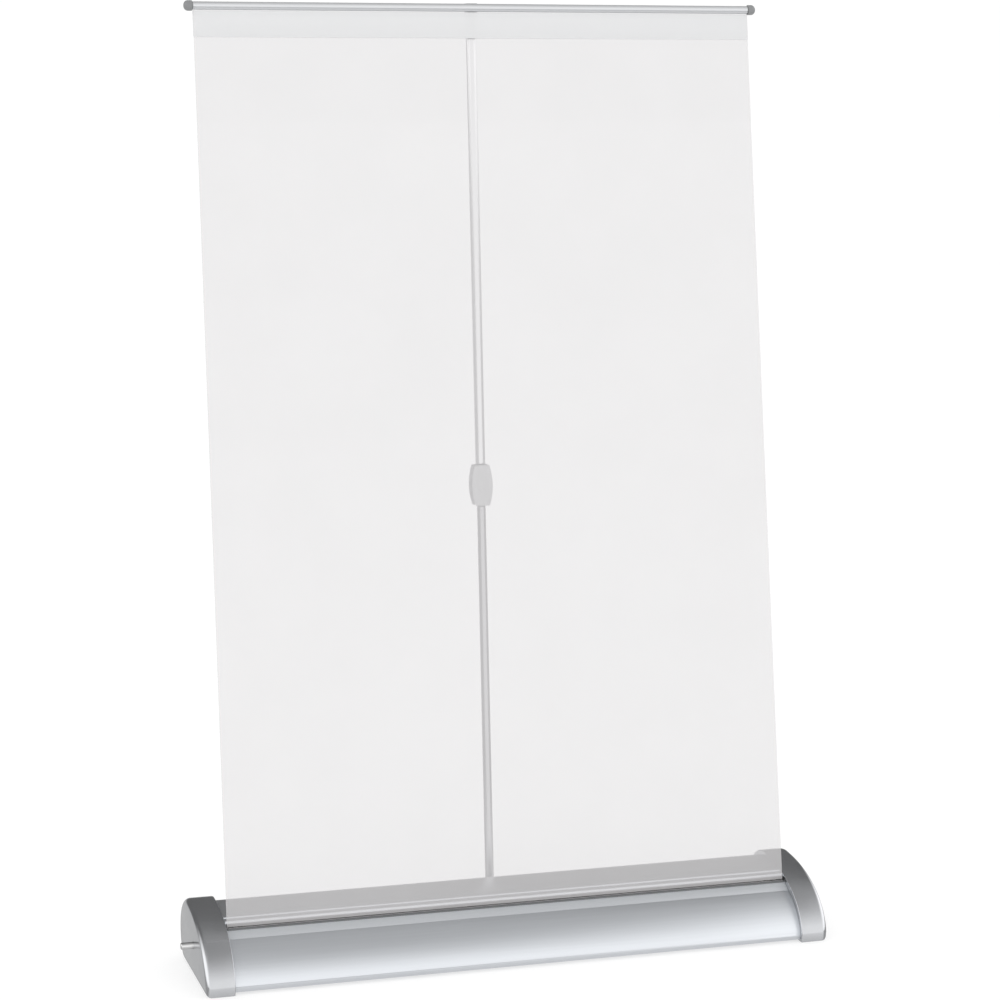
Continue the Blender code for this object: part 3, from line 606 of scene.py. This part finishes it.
def rear_curve(inset, floor_z, count):
    """From the crest down the rounded rear to the underside."""
    points = []
    for i in range(count + 1):
        t = math.pi / 2 * i / count
        points.append((CREST_Y + (REAR_Y - inset - CREST_Y) * math.sin(t),
                       REAR_MID_Z + (CAP_HEIGHT - inset - REAR_MID_Z) * math.cos(t)))
    for i in range(1, count + 1):
        t = math.pi / 2 * i / count
        points.append((REAR_FOOT_Y + (REAR_Y - inset - REAR_FOOT_Y) * math.cos(t),
                       REAR_MID_Z - (REAR_MID_Z - floor_z) * math.sin(t)))
    return points


def build_shell(looks):
    """The extruded cassette, one wall from the slot round the front, floor, rear and top."""
    panel_foot_z = SHELL_FLOOR_Z + RIM_HEIGHT
    panel = front_curve(PANEL_REACH, PANEL_HEIGHT, panel_foot_z, CREASE_Y, PANEL_STEPS)
    rim_y = panel[0][0] - RIM_STEP
    wall = [SLOT_FRONT, *panel[::-1]]
    wall += [(rim_y, panel[0][1] - RIM_LEDGE), (rim_y + RIM_TUCK, SHELL_FLOOR_Z)]
    wall += rear_curve(SHELL_INSET, SHELL_FLOOR_Z, REAR_STEPS)[::-1]
    wall += [TOP_BEND, SLOT_REAR, (SLOT_REAR[0], SLOT_REAR[1] - SLOT_REAR_DEPTH)]
    count = len(wall)
    vertices = [(x, *section(point)) for x in (-SHELL_END_X, SHELL_END_X) for point in wall]
    faces = [(i, i + 1, count + i + 1, count + i) for i in range(count - 1)]
    shell = mesh_of("cassette_shell", vertices, faces)
    thick = shell.modifiers.new("wall", "SOLIDIFY")
    thick.thickness = SHELL_WALL
    thick.offset = -1.0
    thick.use_even_offset = True
    bevel(shell, SHELL_EDGE, segments=2, angle=35)
    smooth(apply_modifiers(shell), angle=25)
    dress(shell, "base", "anodised_aluminium", looks, "base_profile")
    finish_shell(shell, looks)


def finish_shell(shell, looks):
    """A sharp crease under the band, a brighter copy of the metal on the band as painted highlight,
    and a darker copy on the top as painted shade.
    """
    mesh = shell.data
    crease_y = FRONT_Y + CREASE_Y
    for edge in mesh.edges:
        if all(abs(mesh.vertices[i].co.y - crease_y) < SAME_PLACE for i in edge.vertices):
            edge.use_edge_sharp = True
    mesh.materials.append(looks["band_painted_highlight"])
    mesh.materials.append(looks["top_painted_shade"])
    # Upward faces behind the slot take the painted shade, those on the band the painted highlight.
    band, top = 1, 2
    for face in mesh.polygons:
        if face.normal.z < TOP_FACING or face.center.z < CAP_HEIGHT / 2:
            continue
        if face.center.y > FRONT_Y + SLOT_REAR[0]:
            face.material_index = top
        elif face.center.y > crease_y:
            face.material_index = band


def build_slot_trim(looks):
    """The two rounded ribs of the extrusion behind the slot, and a dark rod before the film that
    paints the shade in the slot.
    """
    for name, (centre, radius) in SLOT_RIBS.items():
        rib = extruded(name, circle(section(centre), radius), across(0), 2 * SHELL_END_X)
        dress(smooth(rib), "base", "anodised_aluminium", looks)
    # A dark rod before the film, painted shade of the slot.
    shade_rod = extruded("slot_shade_rod", circle(section(SLOT_SHADE_ROD), SLOT_SHADE_ROD_RADIUS), across(0), FILM_WIDTH)
    dress(smooth(shade_rod), "base", "dark_plastic", looks, look="slot_shade_plastic")


def round_cap_edges(cap):
    """Marks the cap's outer edge to be rounded fully, and its inner one a little."""
    mesh = cap.data
    weights = mesh.attributes.new("bevel_weight_edge", "FLOAT", "EDGE")
    for edge in mesh.edges:
        ends = [abs(mesh.vertices[i].co.x) for i in edge.vertices]
        if max(ends) - min(ends) < SAME_PLACE:
            weights.data[edge.index].value = 1.0 if ends[0] > CAP_SCREW_X else CAP_INNER_EDGE
    rounding = bevel(cap, CAP_EDGE, segments=6).modifiers["edges"]
    rounding.limit_method = "WEIGHT"
    rounding.use_clamp_overlap = False


def build_end_cap(side, looks):
    """Moulded end cap with a soft outer edge, screw wells underneath and the axle's bore."""
    where = "left" if side < 0 else "right"
    outline = [(CAP_FRONT + PLINTH_TUCK, 0.0)]
    outline += front_curve(CAP_REACH, CAP_HEIGHT, PLINTH_HEIGHT, CURVE_TOP_Y, CAP_STEPS)
    outline += rear_curve(0, 0.0, REAR_STEPS)
    outline = [section(point) for point in outline]
    width = CAP_OUTER_X - CAP_INNER_X
    middle = across(side * (CAP_INNER_X + width / 2))
    cap = extruded(f"cap_shell_{where}", outline, middle, width)
    round_cap_edges(cap)
    axle_at = frame_along((side * CAP_SCREW_X, *section(ROLLER)), (1, 0, 0))
    cut(cap, drill(axle_at, AXLE_BORE_RADIUS, -AXLE_BORE_REACH, AXLE_BORE_REACH))
    for screw_y in CAP_SCREW_YS.values():
        well_at = frame_along((side * CAP_SCREW_X, *section((screw_y, 0))), (0, 0, 1))
        cut(cap, drill(well_at, SCREW_HOLE_RADIUS, -DRILL_MARGIN, SCREW_HOLE_DEPTH))
    smooth(cap)
    dress(cap, "base", "silver_plastic", looks, f"end_cap_{where}")


def build_axles(looks):
    """The pins that stand out of the two caps."""
    y, z = section(ROLLER)
    for side, name in ((-1, "spring_axle"), (1, "idler_axle")):
        inner, outer = (side * AXLE_HIDDEN_X[name], y, z), (side * AXLE_END_X, y, z)
        pin = rounded_rod(f"{name}_pin", inner, outer, AXLE_RADIUS, AXLE_EDGE)
        dress(pin, "base", "bright_steel", looks, name)


def build_screw(node, head, direction, radius, looks):
    """Pan-head screw with a cross recess, from the head's centre along direction."""
    shank, depth = radius * SCREW_SHANK, SCREW_HEAD[-1][1]
    profile = [(radius * part, z) for part, z in SCREW_HEAD]
    profile += [(shank, depth), (shank, SCREW_LENGTH), (0, SCREW_LENGTH + SCREW_TIP)]
    place = frame_along(head, direction)
    screw = turned(f"{node}_detail", profile, place, sides=32)
    half = radius * RECESS_REACH
    arm = [(-half, -RECESS_HALF), (half, -RECESS_HALF), (half, RECESS_HALF), (-half, RECESS_HALF)]
    for turn in (0, 90):
        recess_at = place @ Matrix.Rotation(math.radians(turn), 4, "Z")
        cut(screw, extruded("recess", arm, recess_at, RECESS_DEPTH))
    smooth(screw)
    dress(screw, "base", "zinc_steel", looks, node)


def build_cap_screws(looks):
    for side, where in ((-1, "left"), (1, "right")):
        for end, screw_y in CAP_SCREW_YS.items():
            head = (side * CAP_SCREW_X, *section((screw_y, CAP_SCREW_HEAD_Z)))
            build_screw(f"cap_screw_{where}_{end}", head, (0, 0, 1), CAP_SCREW_RADIUS, looks)


def build_feet(looks):
    for side, where in ((-1, "left"), (1, "right")):
        for end, foot_y in FOOT_YS.items():
            x, y = side * FOOT_X, section((foot_y, 0))[0]
            pad = rounded_rod(f"pad_{where}_{end}", (x, y, 0), (x, y, FOOT_HEIGHT),
                              FOOT_RADIUS, FOOT_EDGE)
            dress(pad, "base", "rubber", looks, f"foot_{where}_{end}")


# ---------------------------------------------------------------- banner and rail


def film_point(distance, forward=0.0):
    """(y, z) this far up the film from the slot, and this far in front of it."""
    y, z = section(FILM_SLOT)
    sine, cosine = math.sin(FILM_LEAN), math.cos(FILM_LEAN)
    return (y + distance * sine - forward * cosine, z + distance * cosine + forward * sine)


def build_film(looks):
    """The pulled-up film: taut, with a faint wave across it that dies out at slot and skirt."""
    columns, rows = FILM_COLUMNS, FILM_ROWS
    vertices, faces = [], []
    for r in range(rows + 1):
        up = r / rows
        free = math.sin(math.pi * up) ** 0.5 if 0 < r < rows else 0.0
        for c in range(columns + 1):
            x = (c / columns - 0.5) * FILM_WIDTH
            phase = 2 * math.pi * (FILM_WAVES * c / columns + FILM_WAVE_DRIFT * up)
            wave = math.cos(phase) * FILM_WAVE * free
            vertices.append((x, *film_point(up * FILM_LENGTH, wave)))
    for r in range(rows):
        for c in range(columns):
            a = r * (columns + 1) + c
            faces.append((a, a + 1, a + columns + 2, a + columns + 1))
    film = smooth(mesh_of("film_sheet", vertices, faces))
    film.visible_glossy = False
    dress(film, "base", "banner_film", looks, "banner")
    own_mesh(film)


def build_leader(looks):
    """The film inside the cassette, from the front of the roll up to the slot."""
    roll_y, roll_z = section((ROLLER[0] - ROLL_RADIUS - LEADER_GAP, ROLLER[1] + LEADER_RISE))
    slot_y, slot_z = film_point(LEADER_TOP)
    vertices = []
    for i in range(LEADER_STEPS + 1):
        t = i / LEADER_STEPS
        y = roll_y + (slot_y - roll_y) * t ** LEADER_BEND
        z = roll_z + (slot_z - roll_z) * t
        vertices += [(-FILM_WIDTH / 2, y, z), (FILM_WIDTH / 2, y, z)]
    faces = [(2 * i, 2 * i + 1, 2 * i + 3, 2 * i + 2) for i in range(LEADER_STEPS)]
    dress(smooth(mesh_of("film_leader", vertices, faces)), "base", "banner_film", looks)


def rail_centre():
    return film_point(BANNER_LENGTH + RAIL_RADIUS)


def build_rail(looks):
    """Rail tube with its lengthwise groove."""
    y, z = rail_centre()
    groove_from = 180 - RAIL_GROOVE_AT - RAIL_GROOVE_HALF
    groove_to = groove_from + 2 * RAIL_GROOVE_HALF
    outline = arc((0, 0), RAIL_RADIUS, groove_to, groove_from + 360, 60)
    outline += arc((0, 0), RAIL_RADIUS - RAIL_GROOVE_DEPTH, groove_from + RAIL_GROOVE_SLOPE,
                   groove_to - RAIL_GROOVE_SLOPE, 2)
    place = Matrix.Translation((0, y, z)) @ across(0)
    rail = extruded("rail_tube", outline, place, 2 * RAIL_END_X)
    reach = RAIL_END_X + DRILL_MARGIN
    cut(rail, drill(frame_along((0, y, z), (1, 0, 0)), RAIL_BORE, -reach, reach))
    smooth(rail, angle=25)
    dress(rail, "rail", "anodised_aluminium", looks, "top_rail", look="rail_aluminium")


def build_rail_caps(looks):
    """Domed end caps of the rail, on plugs inside the tube."""
    y, z = rail_centre()
    radius, shoulder = RAIL_CAP_RADIUS, RAIL_CAP_LENGTH - RAIL_DOME_HEIGHT
    profile = [(0, -RAIL_PLUG_LENGTH), (RAIL_PLUG_RADIUS, -RAIL_PLUG_LENGTH), (RAIL_PLUG_RADIUS, 0),
               (radius - RAIL_CAP_EDGE, 0), (radius, RAIL_CAP_EDGE)]
    for degrees in range(0, 90, 9):
        angle = math.radians(degrees)
        profile.append((radius * math.cos(angle) ** RAIL_DOME_POWER,
                        shoulder + RAIL_DOME_HEIGHT * math.sin(angle)))
    profile.append((0, RAIL_CAP_LENGTH))
    for side, where in ((-1, "left"), (1, "right")):
        place = frame_along((side * (RAIL_END_X + RAIL_CAP_GAP), y, z), (side, 0, 0))
        cap = turned(f"rail_dome_{where}", profile, place)
        dress(cap, "rail", "grey_plastic", looks, f"rail_cap_{where}")


def build_skirt(looks):
    """The cloudy strip under the rail that grips the film's upper edge."""
    low, high = FILM_LENGTH + SKIRT_GAP_LOW, BANNER_LENGTH - SKIRT_GAP_HIGH
    taper, thinned = SKIRT_TAPER
    front = [(low, SKIRT_HALF * thinned), (low + taper, SKIRT_HALF), (high, SKIRT_HALF)]
    rear = [(distance, -half) for distance, half in reversed(front)]
    outline = [film_point(*point) for point in front + rear]
    skirt = extruded("skirt_strip", outline, across(0), FILM_WIDTH)
    dress(smooth(skirt), "rail", "clear_strip", looks, "rail_skirt")


# ---------------------------------------------------------------- pole


def pole_line():
    """Foot pivot, unit direction up the pole, swing axis and length to the rail's level."""
    foot = Vector((POLE_FOOT[0], *section(POLE_FOOT[1:])))
    rail_y, rail_z = rail_centre()
    top = Vector((POLE_TOP_X, rail_y + POLE_BEHIND_RAIL, rail_z))
    up = (top - foot).normalized()
    swing = up.cross(Vector((1, 0, 0))).normalized()
    return foot, up, swing, (top - foot).length


def pole_frame(distance):
    """Matrix on the pole: local X to the right, local Y up the pole, local Z to the front."""
    foot, up, swing, _ = pole_line()
    right = swing.cross(up).normalized()
    turn = Matrix((right, up, right.cross(up))).transposed().to_4x4()
    return Matrix.Translation(foot + up * distance) @ turn


def build_tubes(looks):
    foot, up, _, length = pole_line()
    lower_pin, upper_pin = KNUCKLE_AT - KNUCKLE_PIVOT, KNUCKLE_AT + KNUCKLE_PIVOT
    lower = pipe("lower_tube", foot + up * EYE_SHANK, foot + up * (lower_pin - EYE_SHANK),
                 LOWER_RADIUS, LOWER_RADIUS - TUBE_WALL)
    upper = pipe("upper_tube", foot + up * (upper_pin + EYE_SHANK),
                 foot + up * (length - HOOK_DROP), UPPER_RADIUS, UPPER_RADIUS - TUBE_WALL)
    dress(lower, "lower_pole", "pole_steel", looks, "lower_pole", look="lower_steel")
    dress(upper, "upper_pole", "pole_steel", looks, "upper_pole")


def knuckle_half_width(y):
    """Half width of the knuckle, this far along it from its centre."""
    wide, narrow = KNUCKLE_WIDTH / 2, KNUCKLE_END_WIDTH / 2
    return narrow + (wide - narrow) * (1 - (2 * y / KNUCKLE_LENGTH) ** 2)


def knuckle_shell(name, outward):
    """One domed half of the knuckle; outward is +1 for the front half and -1 for the rear one."""
    rows, columns = KNUCKLE_ROWS, KNUCKLE_COLUMNS
    vertices, faces = [], []
    for layer in (0, 1):
        for r in range(rows + 1):
            y = (r / rows - 0.5) * KNUCKLE_LENGTH
            for c in range(columns + 1):
                u = 2 * c / columns - 1
                plate = KNUCKLE_PLATE * (1 - KNUCKLE_THINNING * abs(u) ** KNUCKLE_CROWN_POWER)
                depth = KNUCKLE_GAP + layer * plate
                vertices.append((u * knuckle_half_width(y), y, outward * depth))
    row, sheet = columns + 1, (rows + 1) * (columns + 1)
    for r in range(rows):
        for c in range(columns):
            a = r * row + c
            b = sheet + a
            faces.append((a, a + 1, a + row + 1, a + row))
            faces.append((b, b + row, b + row + 1, b + 1))
    bottom = list(range(row))
    right = [r * row + columns for r in range(1, rows + 1)]
    top = [rows * row + c for c in range(columns - 1, -1, -1)]
    left = [r * row for r in range(rows - 1, 0, -1)]
    rim = bottom + right + top + left
    for a, b in zip(rim, rim[1:] + rim[:1]):
        faces.append((a, b, sheet + b, sheet + a))
    shell = mesh_of(name, vertices, faces)
    shell.data.transform(pole_frame(KNUCKLE_AT))
    facing_out(shell)
    return shell


def add_stop_wall(shell):
    """Joins the wall that stops the fold to the shell, down the knuckle's right side."""
    half_length = KNUCKLE_LENGTH / 2
    ys = [(i / STOP_WALL_STEPS - 0.5) * KNUCKLE_LENGTH for i in range(STOP_WALL_STEPS + 1)]
    outline = [(knuckle_half_width(y) - STOP_WALL_INSET, y) for y in ys]
    outline += [(STOP_WALL_INNER, half_length), (STOP_WALL_INNER, -half_length)]
    place = pole_frame(KNUCKLE_AT) @ Matrix.Translation((0, 0, -STOP_WALL_BACK))
    cut(shell, extruded("stop_wall", outline, place, 2 * KNUCKLE_GAP), "UNION")


def build_knuckle(looks):
    """Front shell, and rear shell with the stop wall and the holes of the two pins."""
    front = knuckle_shell("knuckle_shell_front", 1)
    rear = knuckle_shell("knuckle_shell_rear", -1)
    add_stop_wall(rear)
    radius, reach = PIN_RADIUS + PIN_CLEARANCE, PIN_HOLE_REACH
    for sign in (-1, 1):
        pin_at = pole_frame(KNUCKLE_AT + sign * KNUCKLE_PIVOT)
        cut(rear, drill(pin_at, radius, -reach, reach, sides=24))
    for shell, node in ((front, "knuckle_front"), (rear, "knuckle_rear")):
        bevel(shell, KNUCKLE_EDGE)
        smooth(apply_modifiers(shell), angle=35)
        dress(shell, "knuckle", "knuckle_plastic", looks, node)


def build_bracket_screws(looks):
    for node in ("bracket_screw_left", "bracket_screw_right"):
        low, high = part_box(node)
        head = ((low[0] + high[0]) / 2, high[1], (low[2] + high[2]) / 2)
        build_screw(node, head, (0, -1, 0), BRACKET_SCREW_RADIUS, looks)


# ---------------------------------------------------------------- carried-over nodes


def dress_nodes(nodes, looks):
    """Gives each CAD node that still shows its material, and the fittings a soft edge."""
    for name, look in KEPT_NODES.items():
        node = nodes[name]
        node.data.materials.clear()
        node.data.materials.append(looks[look])
        if name in SOFT_EDGED:
            weld = node.modifiers.new("weld", "WELD")
            weld.merge_threshold = KEPT_WELD
            bevel(node, KEPT_EDGE, segments=2, angle=50)
        turn = node.modifiers.new("normals", "WEIGHTED_NORMAL")
        turn.keep_sharp = True


# ---------------------------------------------------------------- stage


def grey_ramp(nodes, stops):
    """A ramp of greys at the given positions."""
    ramp = nodes.new("ShaderNodeValToRGB")
    elements = ramp.color_ramp.elements
    elements[0].position, elements[1].position = stops[0][0], stops[-1][0]
    for position, _ in stops[1:-1]:
        elements.new(position)
    for element, (_, grey) in zip(elements, stops):
        element.color = (grey, grey, grey, 1.0)
    return ramp


def share(nodes, links, source, start, end):
    """0 at start and 1 at end of the source value."""
    spread = nodes.new("ShaderNodeMapRange")
    spread.inputs["From Min"].default_value = start
    spread.inputs["From Max"].default_value = end
    links.new(source, spread.inputs["Value"])
    return spread.outputs["Result"]


def mix_colours(nodes, links, factor, first, second):
    blend = nodes.new("ShaderNodeMix")
    blend.data_type = "RGBA"
    links.new(factor, blend.inputs["Factor"])
    links.new(first, blend.inputs["A"])
    links.new(second, blend.inputs["B"])
    return blend.outputs["Result"]


def room_colour(nodes, links):
    """Greys of the room: front and back by Y, and sides by the size of X."""
    where = nodes.new("ShaderNodeTexCoord")
    split = nodes.new("ShaderNodeSeparateXYZ")
    links.new(where.outputs["Generated"], split.inputs["Vector"])
    height = share(nodes, links, split.outputs["Z"], -1, 1)
    greys = {}
    for name, stops in ROOM_GREYS.items():
        ramp = grey_ramp(nodes, stops)
        links.new(height, ramp.inputs["Fac"])
        greys[name] = ramp.outputs["Color"]
    width = nodes.new("ShaderNodeMath")
    width.operation = "ABSOLUTE"
    links.new(split.outputs["X"], width.inputs[0])
    rearward = share(nodes, links, split.outputs["Y"], *ROOM_BACK)
    sideward = share(nodes, links, width.outputs["Value"], *ROOM_SIDE)
    ends = mix_colours(nodes, links, rearward, greys["front"], greys["back"])
    return mix_colours(nodes, links, sideward, ends, greys["side"])


def set_world():
    """The studio: metal reflects a grey room with a bright low front, and all else sees white."""
    world = bpy.data.worlds.new("studio")
    bpy.context.scene.world = world
    world.use_nodes = True
    nodes, links = world.node_tree.nodes, world.node_tree.links
    reflected = nodes["Background"]
    links.new(room_colour(nodes, links), reflected.inputs["Color"])
    plain = nodes.new("ShaderNodeBackground")
    plain.inputs["Color"].default_value = (1.0, 1.0, 1.0, 1.0)
    plain.inputs["Strength"].default_value = PLAIN_STRENGTH
    path = nodes.new("ShaderNodeLightPath")
    pick = nodes.new("ShaderNodeMixShader")
    links.new(path.outputs["Is Glossy Ray"], pick.inputs["Fac"])
    links.new(plain.outputs["Background"], pick.inputs[1])
    links.new(reflected.outputs["Background"], pick.inputs[2])
    links.new(pick.outputs["Shader"], nodes["World Output"].inputs["Surface"])


def add_floor():
    """A pale floor that gives off some of its own white, so that it meets the background."""
    reach = FLOOR_REACH
    corners = [(-reach, -reach, 0), (reach, -reach, 0), (reach, reach, 0), (-reach, reach, 0)]
    floor = mesh_of("floor", corners, [(0, 1, 2, 3)])
    grey = (FLOOR_GREY, FLOOR_GREY, FLOOR_GREY)
    made = new_material("floor", grey, 0.9, Emission_Color=(1.0, 1.0, 1.0, 1.0),
                        Emission_Strength=(1 - FLOOR_GREY) * PLAIN_STRENGTH)
    vary_colour(made, noise(made, FLOOR_CLOUDS), shade(grey, 0.99), shade(grey, 1.01))
    floor.data.materials.append(made)
    floor.visible_glossy = False


def add_light(name, at, size, power):
    """A soft area light that lights the object but doesn't show as a patch in its metal."""
    data = bpy.data.lights.new(name, "AREA")
    data.shape = "RECTANGLE"
    data.size, data.size_y = size
    data.energy = power
    light = bpy.data.objects.new(name, data)
    light.location = at
    light.rotation_euler = (Vector(LIGHT_TARGET) - Vector(at)).to_track_quat("-Z", "Y").to_euler()
    light.visible_glossy = False
    light.visible_camera = False
    bpy.context.scene.collection.objects.link(light)


def add_camera():
    data = bpy.data.cameras.new("camera")
    data.sensor_width = CAMERA_SENSOR
    data.lens = CAMERA_LENS
    data.shift_y = CAMERA_SHIFT_Y
    data.clip_start = CAMERA_CLIP
    camera = bpy.data.objects.new("camera", data)
    camera.location = CAMERA_AT
    camera.rotation_euler = (math.radians(90 - CAMERA_PITCH), 0, math.radians(-CAMERA_YAW))
    bpy.context.scene.collection.objects.link(camera)
    bpy.context.scene.camera = camera


def set_stage():
    bpy.context.scene.view_settings.view_transform = "Standard"
    set_world()
    add_floor()
    for name, (at, size, power) in LIGHTS.items():
        add_light(name, at, size, power)
    add_camera()


def main():
    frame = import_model()
    looks = make_looks()
    build_shell(looks)
    build_slot_trim(looks)
    build_end_cap(-1, looks)
    build_end_cap(1, looks)
    build_axles(looks)
    build_cap_screws(looks)
    build_feet(looks)
    build_film(looks)
    build_leader(looks)
    build_rail(looks)
    build_rail_caps(looks)
    build_skirt(looks)
    build_tubes(looks)
    build_knuckle(looks)
    build_bracket_screws(looks)
    dress_nodes(frame["nodes"], looks)
    set_stage()


main()
